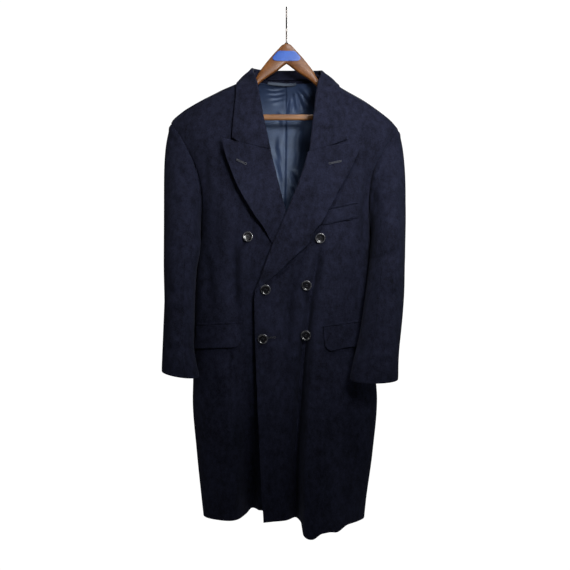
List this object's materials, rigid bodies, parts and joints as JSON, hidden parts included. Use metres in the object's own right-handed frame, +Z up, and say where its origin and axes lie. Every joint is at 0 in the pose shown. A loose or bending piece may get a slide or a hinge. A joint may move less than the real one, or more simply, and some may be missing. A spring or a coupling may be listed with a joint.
{
  "type": "double-breasted overcoat on a wooden hanger",
  "caption": "Long double-breasted wool overcoat with peak lapels, flap pockets and a satin back lining, buttoned up and hanging by a wooden hanger with a wire hook.",
  "frame": {"origin": "inside top of the hanger's hook, where it rests on the rail", "axes": "+Z up, along the hanging coat; +Y away from the viewer, from the coat's front to its back; +X to the viewer's right, the wearer's left"},
  "size_m": [0.5986, 0.2614, 1.2947],
  "materials": {
    "wool": "very dark navy wool coating with a soft short nap",
    "satin": "slate blue satin with soft highlights",
    "horn": "polished dark horn-like buttons with a raised rim",
    "timber": "varnished mid-brown beech",
    "steel": "polished steel wire",
    "blue": "plain blue lozenge without lettering"
  },
  "bodies": {
    "root": {"back_left": "wool", "back_right": "wool", "front_left": "wool", "front_right": "wool", "lapel_left": "wool", "lapel_right": "wool", "collar_fall": "wool", "collar_stand": "wool", "sleeve_upper_left": "wool", "sleeve_upper_right": "wool", "sleeve_under_left": "wool", "sleeve_under_right": "wool", "pocket_flap_left": "wool", "pocket_flap_right": "wool", "pocket_jet_left": "wool", "pocket_jet_right": "wool", "chest_welt": "wool", "lining_back": "satin", "hanger_loop": "satin", "button_top_right": "horn", "button_top_left": "horn", "button_mid_right": "horn", "button_mid_left": "horn", "button_low_right": "horn", "button_low_left": "horn", "hanger_wood": "timber", "hanger_bar": "timber", "hanger_hook": "steel", "hanger_label": "blue"}
  },
  "joints": []
}
